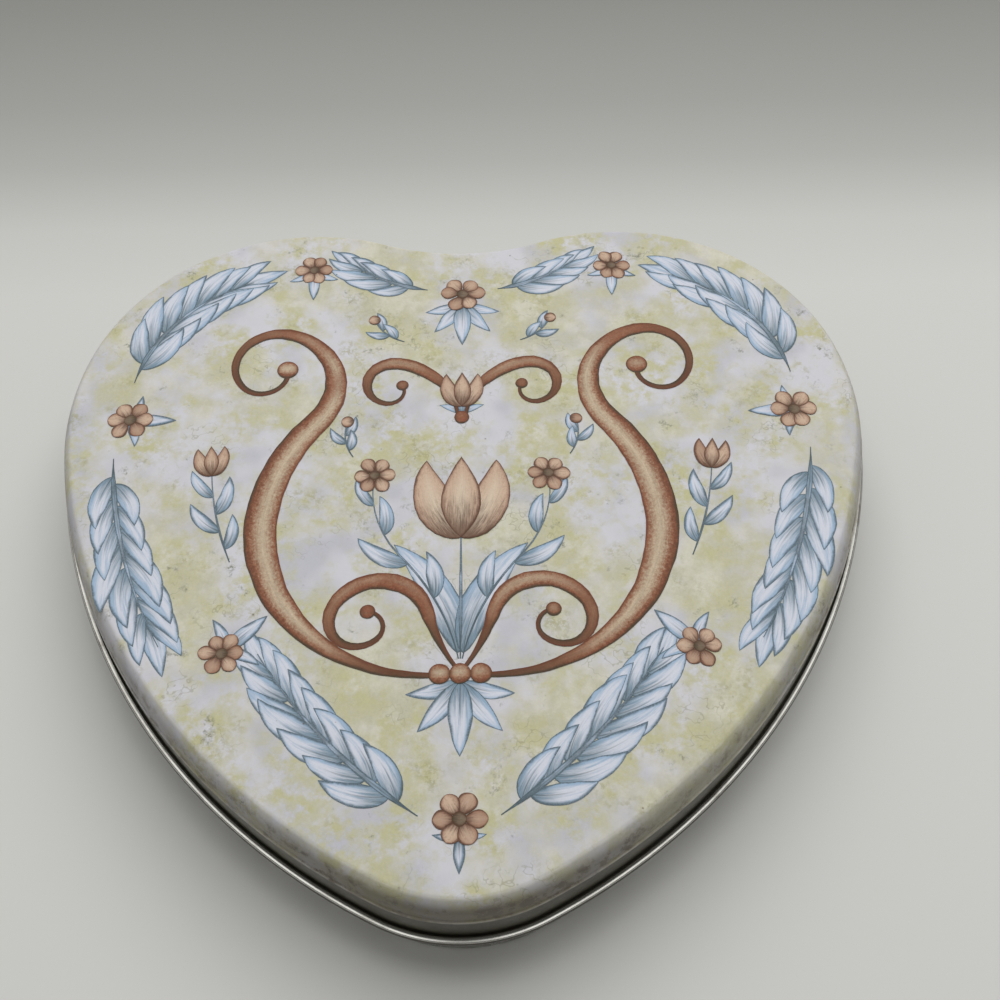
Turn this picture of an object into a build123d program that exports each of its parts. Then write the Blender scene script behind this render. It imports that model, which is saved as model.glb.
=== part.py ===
from build123d import *
import os
from math import cos, degrees, radians, sin

# Heart-shaped tinplate keepsake tin: a drawn slip-on lid over a seamed body.
# Millimetres, +Z up, origin on the table under the middle of the heart. The notch is
# at +Y, the tip at -Y, and the plane X = 0 mirrors the heart onto itself.

# Overall sizes
HALF_WIDTH = 70.4  # of the lid's skirt, measured to its outer face
TOTAL_HEIGHT = 23.0
SHEET = 0.28  # tinplate thickness

# Heart outline: tangent arcs from the notch to the tip, on the outer face of the lid's skirt.
# A heading is the outline's direction in degrees: 0 along +X, and falling along the lobe.
NOTCH_RADIUS = 41.0  # the hollow between the lobes
NOTCH_HEADING = 20.3
LOBE_END_HEADING = -75.0
CHEEK_RADIUS = 50.0
CHEEK_END_HEADING = -100.0
SIDE_END_HEADING = -153.5
TIP_RADIUS = 27.5

# Lid, as distances outward from the skirt's outer face and heights above the table
CREST_RADIUS = 1.0  # the tight bend at the edge of the flat top
CREST_TURN = 45.0
BELLY_RADIUS = 5.2  # the easy bend that goes on from it, down into the wall
WALL_LEAN = 8.0  # degrees that the wall under the belly leans in towards the top
LEDGE_WIDTH = 0.32  # how far the upright skirt stands out from the foot of that wall
LEDGE_TURN = 55.0
LEDGE_TOP = 18.4
CURL_RADIUS = 0.85
CURL_BOTTOM = 11.1
CURL_TURN = 285.0  # the roll stops short of the skirt and leaves a slit

# Body wall
WALL_OFFSET = -1.32  # the wall's outer face
RIM_RADIUS = 0.8
RIM_CENTRE = 20.4
RIM_TURN = 300.0
HOOK_CORNER = 0.18
HOOK_TOP = 2.3
SEAM_PLAY = 0.07  # between the layers of the bottom seam
LOCK_SEAM_WIDTH = 4.0
LOCK_SEAM_DEPTH = 0.5
LOCK_SEAM_BOTTOM = 3.2
LOCK_SEAM_TOP = 19.4
LOCK_LINE_WIDTH = 0.4
LOCK_LINE_DEPTH = 0.1

# Bottom panel
FLANGE_BOTTOM = 0.36
PANEL_HEIGHT = 2.5  # the underside of its rim
PANEL_CORNER = 0.26
PANEL_RIM = 6.4  # from the flange to the step
PANEL_STEP = 0.6
PANEL_STEP_TURN = 45.0


def arc_reach(heading_from, heading_to):
    """How far an arc of radius 1 goes in X as its heading changes."""
    return abs(sin(radians(heading_to)) - sin(radians(heading_from)))


def arc_drop(heading_from, heading_to):
    """How far an arc of radius 1 goes down as its heading changes."""
    return abs(cos(radians(heading_to)) - cos(radians(heading_from)))


# The lobe radius gives the heart its width, and the side radius closes it on the centre line
LOBE_RADIUS = (
    HALF_WIDTH
    - NOTCH_RADIUS * arc_reach(0, NOTCH_HEADING)
    - CHEEK_RADIUS * arc_reach(LOBE_END_HEADING, -90)
) / arc_reach(NOTCH_HEADING, LOBE_END_HEADING)
SIDE_RADIUS = (
    HALF_WIDTH
    - CHEEK_RADIUS * arc_reach(-90, CHEEK_END_HEADING)
    - TIP_RADIUS * arc_reach(SIDE_END_HEADING, -180)
) / arc_reach(CHEEK_END_HEADING, SIDE_END_HEADING)

# Each stretch of the half outline is a radius and a turn, left turns positive
HALF_OUTLINE = [
    (NOTCH_RADIUS, NOTCH_HEADING),
    (LOBE_RADIUS, LOBE_END_HEADING - NOTCH_HEADING),
    (CHEEK_RADIUS, CHEEK_END_HEADING - LOBE_END_HEADING),
    (SIDE_RADIUS, SIDE_END_HEADING - CHEEK_END_HEADING),
    (TIP_RADIUS, -180 - SIDE_END_HEADING),
]


def walk(start, heading, moves):
    """Follows straight runs (length, 0) and arcs (radius, turn) from a start point.

    Gives each move as (start point, heading, arc centre or None, length or radius, turn).
    """
    stretches = []
    here = Vector(*start)
    for size, turn in moves:
        ahead = Vector(cos(radians(heading)), sin(radians(heading)))
        left = Vector(-ahead.Y, ahead.X)
        if turn == 0:
            stretches.append((here, heading, None, size, turn))
            here = here + ahead * size
        else:
            side = 1 if turn > 0 else -1
            centre = here + left * (side * size)
            stretches.append((here, heading, centre, size, turn))
            heading += turn
            here = centre - Vector(-sin(radians(heading)), cos(radians(heading))) * (side * size)
    stretches.append((here, heading, None, 0, 0))
    return stretches


def edges_beside(stretches, offset):
    """The edges of a walked path, moved to its left by offset."""
    edges = []
    for here, heading, centre, size, turn in stretches[:-1]:
        left = Vector(-sin(radians(heading)), cos(radians(heading)))
        first = here + left * offset
        if centre is None:
            ahead = Vector(left.Y, -left.X)
            edges.append(Edge.make_line(first, first + ahead * size))
        else:
            middle = centre + (first - centre).rotate(Axis.Z, turn / 2)
            last = centre + (first - centre).rotate(Axis.Z, turn)
            edges.append(Edge.make_three_point_arc(first, middle, last))
    return edges


def heart_extent():
    """The outline's top and bottom, measured from the notch."""
    half = walk((0, 0), 0, HALF_OUTLINE)
    lobe_centre = half[1][2]
    return lobe_centre.Y + LOBE_RADIUS, half[-1][0].Y


LOBE_TOP, TIP_BOTTOM = heart_extent()
NOTCH_Y = -(LOBE_TOP + TIP_BOTTOM) / 2
HEART = walk((0, NOTCH_Y), 0, HALF_OUTLINE)


def sheet_section(start, heading, moves):
    """The cross section of a folded sheet whose middle layer follows the moves."""
    path = walk(start, heading, moves)
    left_side = edges_beside(path, SHEET / 2)
    right_side = edges_beside(path, -SHEET / 2)
    ends = [
        Edge.make_line(right_side[0] @ 0, left_side[0] @ 0),
        Edge.make_line(left_side[-1] @ 1, right_side[-1] @ 1),
    ]
    return Face(Wire(left_side + right_side + ends))


def box_section(inner, outer, low, high):
    """A plain rectangular cross section."""
    width = outer - inner
    height = high - low
    return Pos((inner + outer) / 2, (low + high) / 2) * Rectangle(width, height).face()


def turned_along(section, stretch, turn, back=0.0):
    """Carries a cross section along one arc of the outline, outward being the section's +X."""
    here, heading, centre, size, whole_turn = stretch
    ahead = Vector(cos(radians(heading)), sin(radians(heading)))
    outward = Vector(-ahead.Y, ahead.X)
    placed = Plane(origin=here, x_dir=outward, z_dir=ahead) * section
    axis = Axis(centre, (0, 0, 1))
    if back:
        placed = placed.rotate(axis, back)
    if turn < 0:
        return Solid.revolve(placed, -turn, Axis(centre, (0, 0, -1)))
    return Solid.revolve(placed, turn, axis)


def heart_band(section):
    """Carries a cross section all the way round the heart."""
    half = [turned_along(section, stretch, stretch[4]) for stretch in HEART[:-1]]
    other_half = [piece.mirror(Plane.YZ) for piece in half]
    return half[0].fuse(*half[1:], *other_half)


def heart_plate(offset, low, high):
    """A flat heart-shaped plate whose edge stands at offset from the outline."""
    half = edges_beside(HEART, offset)
    other_half = [edge.mirror(Plane.YZ) for edge in half]
    face = Face(Wire(half + other_half))
    return Pos(0, 0, low) * Solid.extrude(face, Vector(0, 0, high - low))


def step_size(rise, turn):
    """The radius and the length of two arcs that shift a sheet sideways by rise."""
    radius = rise / (2 * (1 - cos(radians(turn))))
    return radius, 2 * radius * sin(radians(turn))


def lid():
    """Flat top, crest, belly, leaning wall, ledge, skirt and outward curl, in one sheet."""
    crest_radius = CREST_RADIUS - SHEET / 2
    belly_radius = BELLY_RADIUS - SHEET / 2
    wall_heading = WALL_LEAN - 90
    ledge_heading = wall_heading + LEDGE_TURN
    crest_reach = crest_radius * arc_reach(0, -CREST_TURN)
    crest_drop = crest_radius * arc_drop(0, -CREST_TURN)
    belly_reach = belly_radius * arc_reach(-CREST_TURN, wall_heading)
    belly_drop = belly_radius * arc_drop(-CREST_TURN, wall_heading)
    wall_drop = TOTAL_HEIGHT - SHEET / 2 - crest_drop - belly_drop - LEDGE_TOP
    wall_run = wall_drop / cos(radians(WALL_LEAN))
    wall_reach = wall_run * sin(radians(WALL_LEAN))
    ledge_radius = LEDGE_WIDTH / (arc_reach(wall_heading, ledge_heading) + arc_reach(ledge_heading, -90))
    ledge_drop = ledge_radius * (arc_drop(wall_heading, ledge_heading) + arc_drop(ledge_heading, -90))
    skirt = LEDGE_TOP - ledge_drop - (CURL_BOTTOM + CURL_RADIUS)
    shoulder_start = -SHEET / 2 - LEDGE_WIDTH - wall_reach - belly_reach - crest_reach
    section = sheet_section(
        (shoulder_start, TOTAL_HEIGHT - SHEET / 2),
        0,
        [
            (crest_radius, -CREST_TURN),
            (belly_radius, wall_heading + CREST_TURN),
            (wall_run, 0),
            (ledge_radius, LEDGE_TURN),
            (ledge_radius, -90 - ledge_heading),
            (skirt, 0),
            (CURL_RADIUS - SHEET / 2, CURL_TURN),
        ],
    )
    plate = heart_plate(shoulder_start, TOTAL_HEIGHT - SHEET, TOTAL_HEIGHT)
    return heart_band(section).fuse(plate)


def body_wall():
    """One strip: bottom hook, upright wall, inward safe edge and the lock seam at the notch."""
    wall_middle = WALL_OFFSET - SHEET / 2
    leg_middle = wall_middle - 2 * (SHEET + SEAM_PLAY)
    hook_floor = wall_middle - leg_middle - 2 * HOOK_CORNER
    corner_height = SHEET / 2 + HOOK_CORNER
    section = sheet_section(
        (leg_middle, HOOK_TOP),
        -90,
        [
            (HOOK_TOP - corner_height, 0),
            (HOOK_CORNER, 90),
            (hook_floor, 0),
            (HOOK_CORNER, 90),
            (RIM_CENTRE - corner_height, 0),
            (RIM_RADIUS - SHEET / 2, RIM_TURN),
        ],
    )
    wall = heart_band(section)
    inner_face = WALL_OFFSET - SHEET
    ridge = box_section(inner_face - LOCK_SEAM_DEPTH, inner_face, LOCK_SEAM_BOTTOM, LOCK_SEAM_TOP)
    line = box_section(
        WALL_OFFSET - LOCK_LINE_DEPTH, WALL_OFFSET + LOCK_LINE_DEPTH, LOCK_SEAM_BOTTOM, LOCK_SEAM_TOP
    )
    wall = wall.fuse(notch_strip(ridge, LOCK_SEAM_WIDTH))
    return wall.cut(notch_strip(line, LOCK_LINE_WIDTH))


def notch_strip(section, width):
    """A short length of a cross section, centred on the notch."""
    turn = degrees(width / NOTCH_RADIUS)
    return turned_along(section, HEART[0], turn, back=-turn / 2)


def bottom_panel():
    """Pressed panel: turned-down flange in the wall's hook, flat rim and raised middle."""
    flange_middle = WALL_OFFSET - SHEET - SEAM_PLAY - SHEET / 2
    rim_middle = PANEL_HEIGHT + SHEET / 2
    step_radius, step_run = step_size(PANEL_STEP, PANEL_STEP_TURN)
    section = sheet_section(
        (flange_middle, FLANGE_BOTTOM),
        90,
        [
            (rim_middle - PANEL_CORNER - FLANGE_BOTTOM, 0),
            (PANEL_CORNER, 90),
            (PANEL_RIM, 0),
            (step_radius, -PANEL_STEP_TURN),
            (step_radius, PANEL_STEP_TURN),
        ],
    )
    plate_edge = flange_middle - PANEL_CORNER - PANEL_RIM - step_run
    plate_bottom = PANEL_HEIGHT + PANEL_STEP
    plate = heart_plate(plate_edge, plate_bottom, plate_bottom + SHEET)
    return heart_band(section).fuse(plate)


def main():
    os.makedirs("parts", exist_ok=True)
    nodes = {"lid": lid(), "body_wall": body_wall(), "bottom_panel": bottom_panel()}
    for name, shape in nodes.items():
        export_step(shape, f"parts/{name}.step")
        box = shape.bounding_box()
        size = box.size
        print(name, "solids", len(shape.solids()), "volume", round(shape.volume, 1), "mm3")
        print("  size", round(size.X, 2), round(size.Y, 2), round(size.Z, 2), "low Z", round(box.min.Z, 2))
    print("lobe radius", round(LOBE_RADIUS, 2), "side radius", round(SIDE_RADIUS, 2))
    print("notch y", round(NOTCH_Y, 2))


main()
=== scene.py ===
# %% [markdown]
# # A heart-shaped trinket tin
#
# The tin is three pieces of tinplate: a printed lid that slips over the body, the wall of
# the body, and a bottom panel held in a folded seam. Nothing is thicker than a fingernail,
# so its looks come from two things: how the sheet is bent, and what is printed on it.
#
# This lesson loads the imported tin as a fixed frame, forms each sheet again as a smooth
# surface in the same place, prints the lid stroke by stroke, and lights it on a pale sheet.

# %% Load the frame
import random
from math import cos, pi, radians, sin, sqrt

import bmesh
import bpy
from mathutils import Matrix, Vector, noise


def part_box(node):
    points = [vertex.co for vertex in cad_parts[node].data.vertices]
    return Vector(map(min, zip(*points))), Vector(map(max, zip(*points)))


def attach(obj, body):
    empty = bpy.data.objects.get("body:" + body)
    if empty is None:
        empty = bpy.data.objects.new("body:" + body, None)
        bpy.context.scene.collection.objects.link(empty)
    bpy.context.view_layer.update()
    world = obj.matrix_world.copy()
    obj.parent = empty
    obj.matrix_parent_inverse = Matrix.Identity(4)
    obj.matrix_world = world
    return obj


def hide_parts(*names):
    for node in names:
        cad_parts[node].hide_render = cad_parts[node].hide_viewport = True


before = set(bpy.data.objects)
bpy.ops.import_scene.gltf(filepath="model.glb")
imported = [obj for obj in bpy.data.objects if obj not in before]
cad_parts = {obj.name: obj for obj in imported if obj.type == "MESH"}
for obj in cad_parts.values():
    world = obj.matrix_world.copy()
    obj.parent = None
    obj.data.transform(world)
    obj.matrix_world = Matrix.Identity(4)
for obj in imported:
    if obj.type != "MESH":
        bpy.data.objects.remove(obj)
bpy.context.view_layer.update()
MM = 0.001

# %% [markdown]
# The camera comes first, because every later choice is judged through it. The photograph
# was taken close up, from above the tip, so the near end of the tin looks larger. The
# angles, the distance and the focal length were solved from the tin's outline.

# %% Place the camera
CAMERA_AZIMUTH, CAMERA_ELEVATION, CAMERA_ROLL = 0.528, 56.452, -1.412
CAMERA_DISTANCE = 230.22 * MM
CAMERA_TARGET = Vector((6.378, 9.744, 11.5)) * MM
FOCAL_PIXELS, PHOTO_PIXELS, SENSOR = 1300.6, 1000, 36.0

camera_data = bpy.data.cameras.new("camera")
camera_data.sensor_width = SENSOR
camera_data.lens = FOCAL_PIXELS / PHOTO_PIXELS * SENSOR
camera_data.clip_start = 5 * MM
camera_data.clip_end = 20.0
camera = bpy.data.objects.new("camera", camera_data)
bpy.context.scene.collection.objects.link(camera)
turn = (
    Matrix.Rotation(radians(CAMERA_AZIMUTH), 4, "Z")
    @ Matrix.Rotation(radians(90 - CAMERA_ELEVATION), 4, "X")
    @ Matrix.Rotation(radians(CAMERA_ROLL), 4, "Z")
)
back = turn @ Vector((0, 0, 1))
camera.matrix_world = Matrix.Translation(CAMERA_TARGET + back * CAMERA_DISTANCE) @ turn
bpy.context.scene.camera = camera
print("camera at", [round(x / MM, 1) for x in camera.location], "mm, lens", round(camera_data.lens, 2))

# %% [markdown]
# A bent sheet has two shapes in it: the heart seen from above, and the fold seen in
# section. Both are straight runs and arcs that meet without a corner, so one helper can
# draw both. It pushes geometry along a path: a straight run is a spin with a shift and no
# angle, and an arc is a spin about its centre.

# %% A helper that bends metal
def follow(mesh, geometry, place, heading, moves, ahead_axis, left_axis):
    """Pushes geometry along (size, turn, steps) moves: a run of that size, or an arc."""
    turn_axis = ahead_axis.cross(left_axis)
    for size, turning, steps in moves:
        ahead = ahead_axis * cos(radians(heading)) + left_axis * sin(radians(heading))
        left = left_axis * cos(radians(heading)) - ahead_axis * sin(radians(heading))
        if turning == 0:
            centre, step, end = place, ahead * (size / steps), place + ahead * size
        else:
            centre, step = place + left * (size if turning > 0 else -size), Vector((0, 0, 0))
            end = centre + Matrix.Rotation(radians(turning), 3, turn_axis) @ (place - centre)
        made = bmesh.ops.spin(
            mesh, geom=geometry, cent=centre, axis=turn_axis, dvec=step, angle=radians(turning), steps=steps
        )
        geometry, place, heading = made["geom_last"], end, heading + turning


# %% [markdown]
# These are the heart's own sizes, the same as the solid model's: five tangent arcs from the
# notch to the tip, on the outer face of the lid's skirt. The lobe's radius follows from the
# width, and the side's radius closes the heart on its centre line.

# %% The heart outline
HALF_WIDTH = 70.4
SHEET, CURL_RADIUS = 0.28, 0.85
NOTCH_RADIUS, NOTCH_HEADING = 41.0, 20.3
LOBE_END, CHEEK_RADIUS, CHEEK_END = -75.0, 50.0, -100.0
SIDE_END, TIP_RADIUS = -153.5, 27.5


def reach(heading_from, heading_to):
    """How far an arc of radius 1 goes in X as its heading changes."""
    return abs(sin(radians(heading_to)) - sin(radians(heading_from)))


def drop(heading_from, heading_to):
    """How far an arc of radius 1 goes down as its heading changes."""
    return abs(cos(radians(heading_to)) - cos(radians(heading_from)))


LOBE_RADIUS = (
    HALF_WIDTH - NOTCH_RADIUS * reach(0, NOTCH_HEADING) - CHEEK_RADIUS * reach(LOBE_END, -90)
) / reach(NOTCH_HEADING, LOBE_END)
SIDE_RADIUS = (
    HALF_WIDTH - CHEEK_RADIUS * reach(-90, CHEEK_END) - TIP_RADIUS * reach(SIDE_END, -180)
) / reach(CHEEK_END, SIDE_END)
HALF_HEART = [
    (NOTCH_RADIUS * MM, NOTCH_HEADING, 14),
    (LOBE_RADIUS * MM, LOBE_END - NOTCH_HEADING, 44),
    (CHEEK_RADIUS * MM, CHEEK_END - LOBE_END, 12),
    (SIDE_RADIUS * MM, SIDE_END - CHEEK_END, 40),
    (TIP_RADIUS * MM, -180 - SIDE_END, 12),
]
WHOLE_HEART = HALF_HEART + HALF_HEART[::-1]
lobe_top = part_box("lid")[1].y / MM - (2 * CURL_RADIUS - SHEET)
centre_to_notch = (NOTCH_RADIUS + LOBE_RADIUS) * cos(radians(NOTCH_HEADING)) - NOTCH_RADIUS
NOTCH = Vector((0, lobe_top - LOBE_RADIUS + centre_to_notch, 0)) * MM
print("lobe radius", round(LOBE_RADIUS, 2), "notch at y", round(NOTCH.y / MM, 2))

# %% [markdown]
# A finish is a small network of nodes, and helpers keep its wiring readable. A wire knows
# which tree it is in, so only a node that nothing leads into must be told. Colours are
# written as they look on a screen, from 0 to 255, and turned into the linear values that
# the shader works with.

# %% Helpers that wire a finish
def tone(red, green, blue):
    """A screen colour of 0 to 255 as the linear colour that nodes take."""
    shares = [c / 255 for c in (red, green, blue)]
    return tuple(s / 12.92 if s <= 0.04045 else ((s + 0.055) / 1.055) ** 2.4 for s in shares) + (1.0,)


def is_wire(value):
    """Whether a value is another node's output."""
    return isinstance(value, bpy.types.NodeSocket)


def wire(node, inputs):
    """Gives each of these inputs of a node a value or a wire."""
    for key, value in inputs.items():
        if is_wire(value):
            node.id_data.links.new(value, node.inputs[key])
        else:
            node.inputs[key].default_value = value


def add(kind, inputs, tree=None, **settings):
    """Adds a node, sets its options and wires it; gives its outputs."""
    tree = tree or next(filter(is_wire, inputs.values())).id_data
    node = tree.nodes.new("ShaderNode" + kind)
    for key, value in settings.items():
        setattr(node, key, value)
    wire(node, inputs)
    return node.outputs


def new_finish(name):
    """An empty finish: the material, its shader, and the point being shaded, in metres."""
    material = bpy.data.materials.new(name)
    material.use_nodes = True
    print("finish", name)
    tree = material.node_tree
    return material, tree.nodes["Principled BSDF"], add("TexCoord", {}, tree)["Object"]


def in_mm(point):
    """The same point in millimetres."""
    return add("VectorMath", {0: point, "Scale": 1 / MM}, operation="SCALE")[0]


# %% [markdown]
# Most of a finish is sums: what is near an edge, at a height, or both. The Math node does
# one sum, so these helpers name the few that recur, above all the smooth step.

# %% Helpers that do sums
def sum_of(operation, first, second=0.0, third=0.0, clamp=False):
    """One sum, such as ADD, MULTIPLY or ABSOLUTE."""
    parts = {0: first, 1: second, 2: third}
    return add("Math", parts, operation=operation, use_clamp=clamp)[0]


def times(*values):
    """The product of several values."""
    product = values[0]
    for value in values[1:]:
        product = sum_of("MULTIPLY", product, value)
    return product


def scaled(value, size, start, clamp=False):
    """A value times a size, plus a start."""
    return sum_of("MULTIPLY_ADD", value, size, start, clamp)


def rest_of(value):
    """What is left of 1."""
    return sum_of("SUBTRACT", 1.0, value)


def rising(value, low, high):
    """0 below low, 1 above high, and a smooth step between them."""
    return add("MapRange", {0: value, 1: low, 2: high}, interpolation_type="SMOOTHSTEP")[0]


def falling(value, low, high):
    """1 below low, 0 above high, and a smooth step between them."""
    return rest_of(rising(value, low, high))


def between(value, low, high, soft):
    """1 between low and high, fading to 0 over a soft edge."""
    return sum_of("SUBTRACT", rising(value, low - soft, low), rising(value, high, high + soft))


def spread(value, low, high, start=0.0, end=1.0):
    """What runs from start to end, spread evenly from low to high."""
    return add("MapRange", {0: value, 1: start, 2: end, 3: low, 4: high})[0]


# %% [markdown]
# Everything printed or worn is uneven. Noise gives that, with its grains in millimetres, and
# a smooth step through the noise turns it into patches where a paint can be laid.

# %% Helpers that mix colours and scatter grains
def mixed(share, first, second, way="MIX"):
    """The second colour laid over the first by a share of 0 to 1."""
    wired = {0: share, 6: first, 7: second}
    return add("Mix", wired, data_type="RGBA", blend_type=way)[2]


def laid(colour, paint, strength, *where):
    """Lays a paint over a colour at this strength, where all of these values are 1."""
    return mixed(times(*where, strength), colour, paint)


def darkened(colour, level):
    """A colour times a grey level."""
    shade = add("CombineColor", {0: level, 1: level, 2: level})[0]
    return mixed(1.0, colour, shade, "MULTIPLY")


def grain(place, size, detail, roughness, seed):
    """Noise of about 0 to 1 whose grains are this many millimetres across."""
    wired = {"Vector": place, "W": seed, "Scale": 1 / size, "Detail": detail, "Roughness": roughness}
    return add("TexNoise", wired, noise_dimensions="4D")["Fac"]


def tooth_of(place, *kind):
    """The same noise, but about 0, so that it roughens without darkening."""
    return sum_of("SUBTRACT", grain(place, *kind), 0.5)


def patchy(place, *kind_and_step):
    """Patches: noise cut off by a smooth step between two of its values."""
    return rising(grain(place, *kind_and_step[:4]), *kind_and_step[4:])


# %% [markdown]
# The lid's ground is printed to look like sponged parchment: a lilac white, with cream
# clouds, patches of olive yellow dabbed on through a coarse sponge, grey smudges, and
# hairline curls. A painted image would be the usual way, but noise needs no picture and has
# no seams. Each coat is one noise that says where it is dabbed, times a finer one that
# breaks it up like the sponge.

# %% The parchment ground
LILAC, PALE_LILAC = tone(180, 180, 187), tone(197, 196, 201)
CREAM, PALE_CREAM = tone(182, 179, 157), tone(198, 195, 179)
STRAW, OLIVE = tone(181, 178, 141), tone(152, 149, 106)
SMUDGE, HAIRLINE = tone(112, 114, 100), tone(128, 126, 96)
# Patches: size in millimetres, detail, roughness, seed, and the noise at their two edges.
LILAC_CLOUDS, CREAM_CLOUDS = (9, 2, 0.5, 1.0, 0.34, 0.58), (15, 4, 0.55, 2.0, 0.42, 0.6)
CREAM_SPOTS, SCRIBBLES = (5, 4, 0.6, 14.0, 0.4, 0.62), (11, 2, 0.5, 8.0, 0.54, 0.64)
STRAW_DABS, STRAW_SPONGE = (8, 3, 0.6, 4.0, 0.4, 0.64), (2.2, 3, 0.7, 15.0, 0.34, 0.6)
OLIVE_DABS, OLIVE_SPONGE = (6, 3, 0.6, 16.0, 0.5, 0.72), (0.8, 3, 0.7, 3.0, 0.44, 0.62)
SMUDGES, CRUMBS = (4.5, 4, 0.7, 6.0, 0.58, 0.72), (0.6, 3, 0.7, 5.0, 0.44, 0.6)
COATS = [
    (STRAW_DABS, STRAW_SPONGE, 1.0, STRAW),
    (OLIVE_DABS, OLIVE_SPONGE, 0.66, OLIVE),
    (SMUDGES, CRUMBS, 0.85, SMUDGE),
]
# Plain noise: the first four of these.
HAIRLINE_CURLS, GROUND_TOOTH = (2.2, 2, 0.5, 7.0), (0.4, 3, 0.7, 9.0)
HAIRLINE_WIDTH, HAIRLINE_STRENGTH = (0.006, 0.018), 0.4
SMOOTH_TOOTH, ROUGH_TOOTH = 0.08, 0.2


def parchment(place):
    """The colour of the printed ground at this place."""
    lilac = mixed(patchy(place, *LILAC_CLOUDS), LILAC, PALE_LILAC)
    cream = mixed(patchy(place, *CREAM_SPOTS), CREAM, PALE_CREAM)
    cream_clouds = patchy(place, *CREAM_CLOUDS)
    colour = mixed(cream_clouds, lilac, cream)
    for dabs, sponge, strength, paint in COATS:
        dabbed, broken_up = patchy(place, *dabs), patchy(place, *sponge)
        colour = laid(colour, paint, strength, dabbed, broken_up)
    off_curl = sum_of("ABSOLUTE", tooth_of(place, *HAIRLINE_CURLS))
    curls = falling(off_curl, *HAIRLINE_WIDTH)
    colour = laid(colour, HAIRLINE, HAIRLINE_STRENGTH, curls, patchy(place, *SCRIBBLES))
    rough = sum_of("MAXIMUM", patchy(place, *STRAW_DABS), cream_clouds)
    tooth = times(tooth_of(place, *GROUND_TOOTH), scaled(rough, ROUGH_TOOTH, SMOOTH_TOOTH))
    return darkened(colour, sum_of("ADD", 1.0, tooth))


# %% [markdown]
# Years of handling have left dark specks and grime. The crest carries a thin painted
# highlight, and the wall under it is darkened with grime and painted shade, most of all at
# the tip. The skirt below the ledge is painted dark, under a thin painted highlight along the
# ledge. All but the specks are placed by height, because they follow the folds.

# %% The marks of use, painted shade and painted highlights
LEDGE_TOP = 18.4
SPECK, GRIME_AND_SHADE = tone(90, 82, 72), tone(108, 100, 88)
SKIRT_DARK, PAINTED_HIGHLIGHT = tone(70, 68, 56), tone(208, 205, 194)
SPECKS_PER_MM, SPECK_EDGE, SPECKS_KEPT, SPECK_STRENGTH = 0.22, (0.02, 0.055), (0.72, 0.76), 0.7
WALL_FADE, TIP_SHADE_FADE = (20.6, 22.7), (-66.0, -48.0)
LEAST_GRIME_AND_SHADE, PATCH_GRIME, TIP_SHADE = 0.4, 0.42, 0.42
CREST_HIGHLIGHT_BAND, LEDGE_HIGHLIGHT_BAND = (22.52, 22.72, 0.1), (LEDGE_TOP - 0.4, LEDGE_TOP - 0.2, 0.06)
SKIRT_FADE = (LEDGE_TOP - 0.6, LEDGE_TOP - 0.45)
CREST_HIGHLIGHT_STRENGTH, LEDGE_HIGHLIGHT_LEVELS, SKIRT_DARK_DEPTH = 0.35, (0.36, 0.06), (0.22, 0.74)
GRIMY_PATCHES, HIGHLIGHT_PATCHES = (3, 5, 0.75, 10.0, 0.48, 0.64), (4, 4, 0.6, 17.0, 0.4, 0.6)
SKIRT_DARK_GRAINS = (0.5, 3, 0.7, 18.0, 0.3, 0.62)


def marks_and_painted_light(place, colour):
    """Adds the marks of use, painted shade and painted highlights to a colour."""
    cells = add("TexVoronoi", {"Vector": place, "Scale": SPECKS_PER_MM})
    kept = rising(add("SeparateColor", {0: cells["Color"]})[0], *SPECKS_KEPT)
    specks = falling(cells["Distance"], *SPECK_EDGE)
    colour = laid(colour, SPECK, SPECK_STRENGTH, specks, kept)
    spot = add("SeparateXYZ", {0: place})
    length, height = spot["Y"], spot["Z"]
    # The wall under the crest is darkened by grime patches and by painted shade, which is strongest towards
    # the tip.
    grime_and_shade = scaled(patchy(place, *GRIMY_PATCHES), PATCH_GRIME, LEAST_GRIME_AND_SHADE)
    grime_and_shade = scaled(falling(length, *TIP_SHADE_FADE), TIP_SHADE, grime_and_shade, clamp=True)
    colour = laid(colour, GRIME_AND_SHADE, 1.0, falling(height, *WALL_FADE), grime_and_shade)
    # A thin painted highlight runs along the crest, broken into patches.
    highlight_patches = patchy(place, *HIGHLIGHT_PATCHES)
    colour = laid(colour, PAINTED_HIGHLIGHT, CREST_HIGHLIGHT_STRENGTH, between(height, *CREST_HIGHLIGHT_BAND), highlight_patches)
    # The skirt below the ledge is painted dark olive, broken into grains.
    skirt_darkness = scaled(patchy(place, *SKIRT_DARK_GRAINS), *SKIRT_DARK_DEPTH)
    colour = laid(colour, SKIRT_DARK, 1.0, falling(height, *SKIRT_FADE), skirt_darkness)
    # A thin painted highlight runs along the ledge, broken by the same patches.
    ledge = scaled(highlight_patches, *LEDGE_HIGHLIGHT_LEVELS)
    return laid(colour, PAINTED_HIGHLIGHT, 1.0, between(height, *LEDGE_HIGHLIGHT_BAND), ledge)


# %% [markdown]
# Ink on tinplate is baked to a satin skin, with a faint orange peel and shallow dents, and
# is duller where hands have rubbed it. The ground and the ornament's paints share this one
# finish, and differ only in colour.

# %% The printed skin
RUB_PATCHES, SATIN, DULLED = (7, 5, 0.7, 11.0, 0.35, 0.7), 0.34, 0.5
ORANGE_PEEL, DENTS, PEEL_DEPTH = (1.7, 2, 0.5, 12.0), (21, 2, 0.4, 13.0), 0.06


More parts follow.
